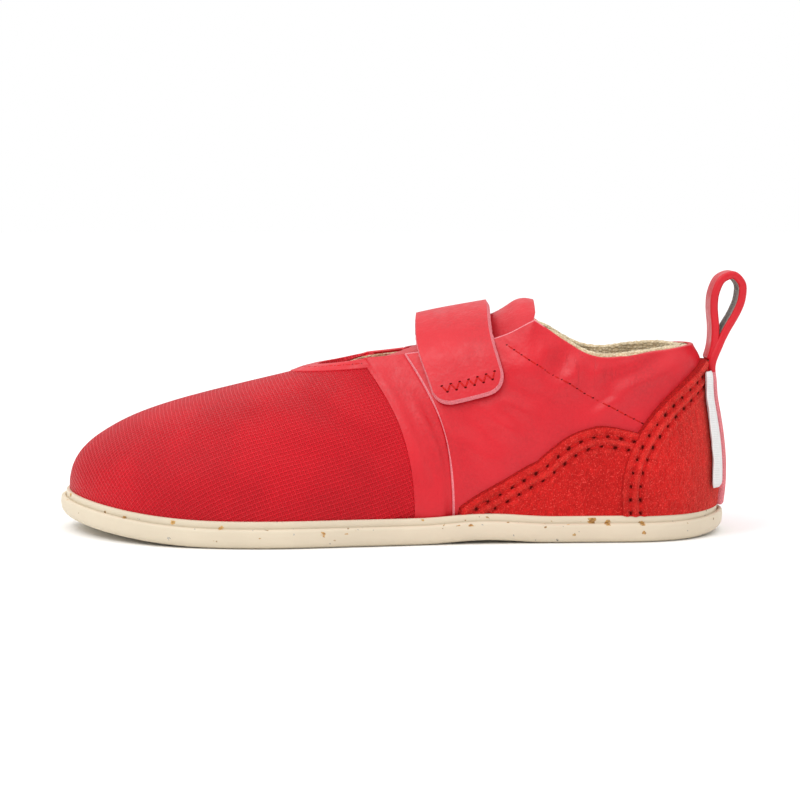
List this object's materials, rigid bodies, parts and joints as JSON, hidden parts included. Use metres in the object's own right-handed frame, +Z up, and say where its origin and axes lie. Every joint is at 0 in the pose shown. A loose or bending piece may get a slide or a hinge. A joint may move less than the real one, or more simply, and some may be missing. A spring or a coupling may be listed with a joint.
{
  "type": "child's soft low shoe with an instep strap",
  "caption": "Soft flexible child's low shoe for the left foot: thin cream rubber sole, hollow red upper with suede heel panels, instep strap, tongue and heel pull loop.",
  "frame": {"origin": "on the floor under the middle of the sole, on the flat of the tread", "axes": "+X towards the heel, -X towards the toe, -Y to the outer side of the foot, +Z up from the floor"},
  "size_m": [0.1746, 0.0732, 0.0664],
  "materials": {
    "cream_rubber": "matte cream rubber with fine cork-coloured flecks",
    "cream_cloth": "plain cream cloth",
    "red_textured_leather": "red, with a small raised grid on the vamp and smooth quarters",
    "red_tongue_leather": "smooth red",
    "red_strap_leather": "smooth red with a pink cut edge",
    "red_suede": "orange-red suede with a short nap",
    "red_strip_leather": "smooth red with a pink cut edge",
    "white_tape": "bare white woven tape"
  },
  "bodies": {
    "root": {"outsole": "cream_rubber", "insole": "cream_cloth", "upper": "red_textured_leather", "tongue": "red_tongue_leather", "strap": "red_strap_leather", "heel_counter": "red_suede", "side_overlay_lateral": "red_suede", "side_overlay_medial": "red_suede", "heel_strip": "red_strip_leather", "pull_loop": "red_strip_leather", "label_tab": "white_tape"}
  },
  "joints": []
}
